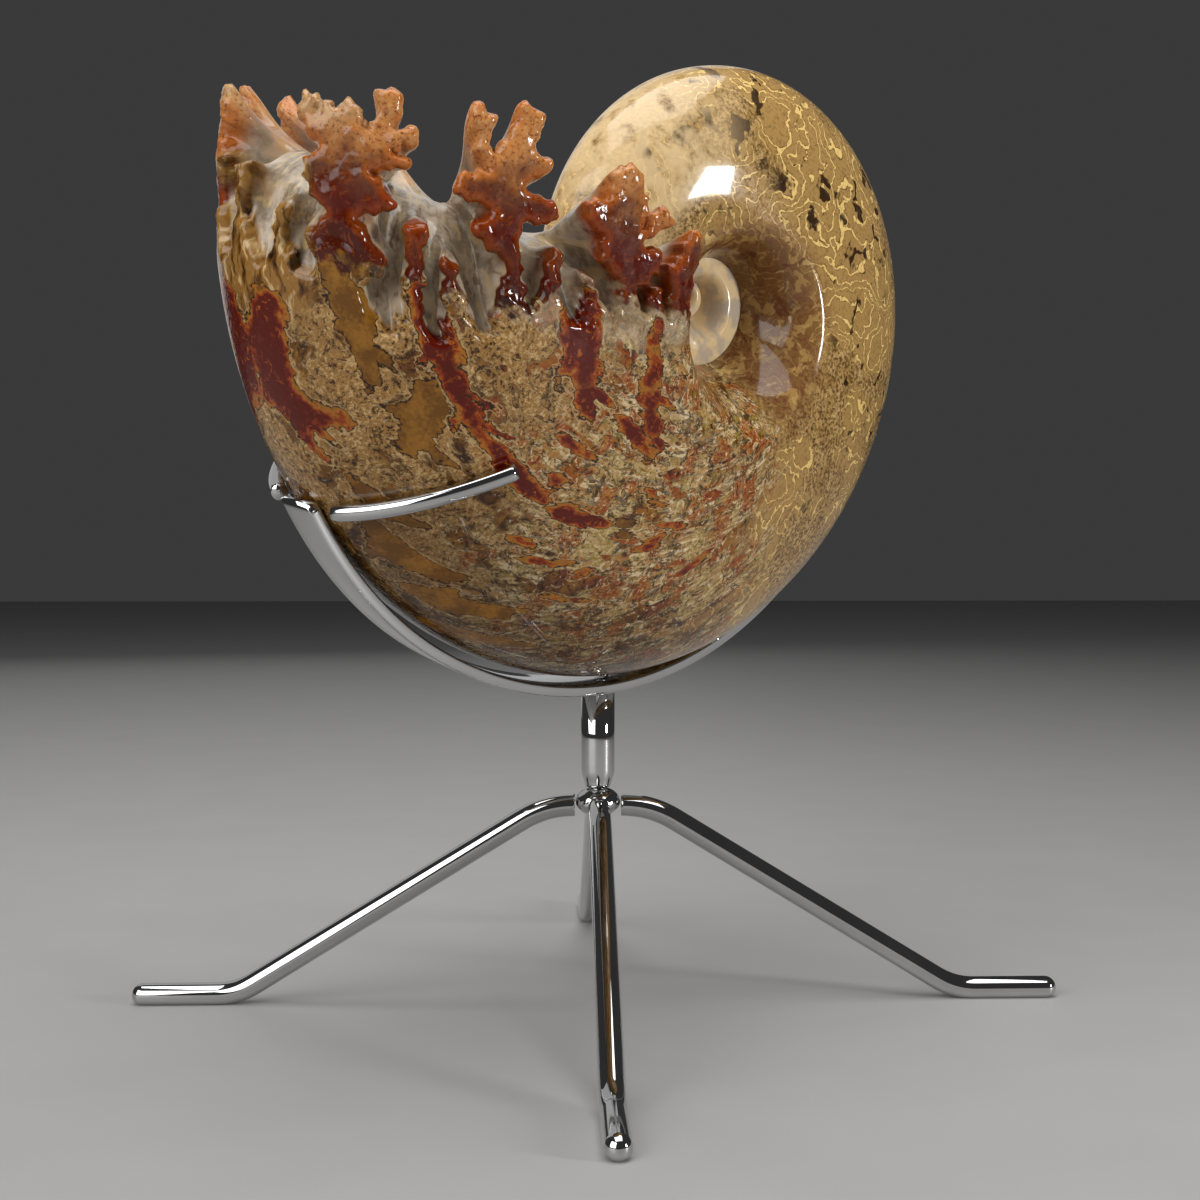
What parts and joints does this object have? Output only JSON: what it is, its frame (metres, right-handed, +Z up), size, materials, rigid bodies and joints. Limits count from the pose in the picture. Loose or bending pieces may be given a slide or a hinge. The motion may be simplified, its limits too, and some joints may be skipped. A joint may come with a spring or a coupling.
{
  "type": "fossil phylloceras ammonite on a steel display stand",
  "caption": "Polished fossil ammonite with carved leafy sutures at its broken end, cradled on its keel by a curved chromed band on a post with bent rod legs.",
  "frame": {"origin": "on the floor under the axis of the post, in the middle of the four feet", "axes": "+Z up along the post, X and Y along the legs, -Y towards the front leg"},
  "size_m": [0.3966, 0.3966, 0.3939],
  "materials": {
    "fossil": "high polish over brown and golden calcite with leaf-shaped suture lines",
    "chromed_steel": "mirror-bright chrome plate"
  },
  "bodies": {
    "root": {"ammonite": "fossil", "cradle_band": "chromed_steel", "arm_near": "chromed_steel", "arm_far": "chromed_steel", "end_rod": "chromed_steel", "band_screw": "chromed_steel", "post": "chromed_steel", "weld_hub": "chromed_steel", "leg_right": "chromed_steel", "leg_back": "chromed_steel", "leg_left": "chromed_steel", "leg_front": "chromed_steel"}
  },
  "joints": []
}
